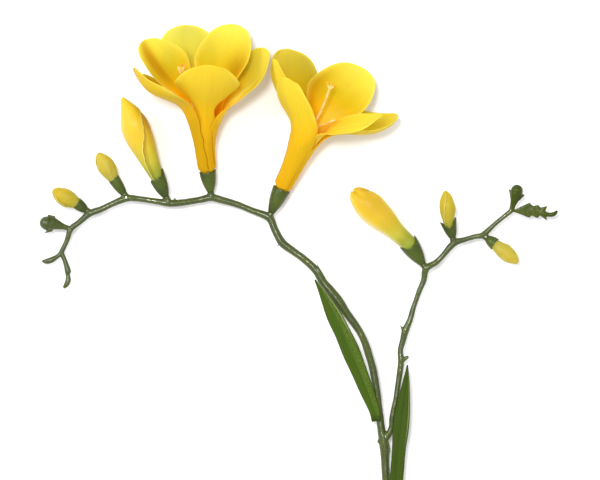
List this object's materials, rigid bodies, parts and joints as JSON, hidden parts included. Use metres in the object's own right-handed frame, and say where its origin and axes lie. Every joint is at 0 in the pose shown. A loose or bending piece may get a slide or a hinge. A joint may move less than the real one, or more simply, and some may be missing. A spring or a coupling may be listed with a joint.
{
  "type": "cut freesia spray",
  "caption": "Cut freesia spray lying flat, a forked green stem with open yellow trumpet blooms, closed yellow buds in green cups and narrow leaves.",
  "frame": {"origin": "on the surface that the spray lies on, under the middle of its outline", "axes": "+X to the right and +Y up in the picture, from the cut end towards the blooms; +Z up, away from the surface"},
  "size_m": [0.1868, 0.2652, 0.0354],
  "materials": {
    "stem_green": "glossy olive green with small bright highlights",
    "cup_green": "satin dark green",
    "leaf_green": "satin fresh green with a pale margin streak",
    "petal_yellow": "soft matt yellow, orange towards the tube",
    "bud_yellow": "satin yellow, green at the base",
    "stamen_cream": "matt cream with orange tips"
  },
  "bodies": {
    "root": {"stem": "stem_green", "leaf_left": "leaf_green", "leaf_right": "leaf_green", "cup_bloom_left": "cup_green", "cup_bloom_right": "cup_green", "cup_bud_left": "cup_green", "cup_bud_right": "cup_green", "cup_bud_small_1": "cup_green", "cup_bud_small_2": "cup_green", "cup_bud_small_3": "cup_green", "cup_bud_small_4": "cup_green", "bloom_left": "petal_yellow", "bloom_right": "petal_yellow", "stamens_left": "stamen_cream", "stamens_right": "stamen_cream", "bud_left": "bud_yellow", "bud_right": "bud_yellow", "bud_small_1": "bud_yellow", "bud_small_2": "bud_yellow", "bud_small_3": "bud_yellow", "bud_small_4": "bud_yellow"}
  },
  "joints": []
}
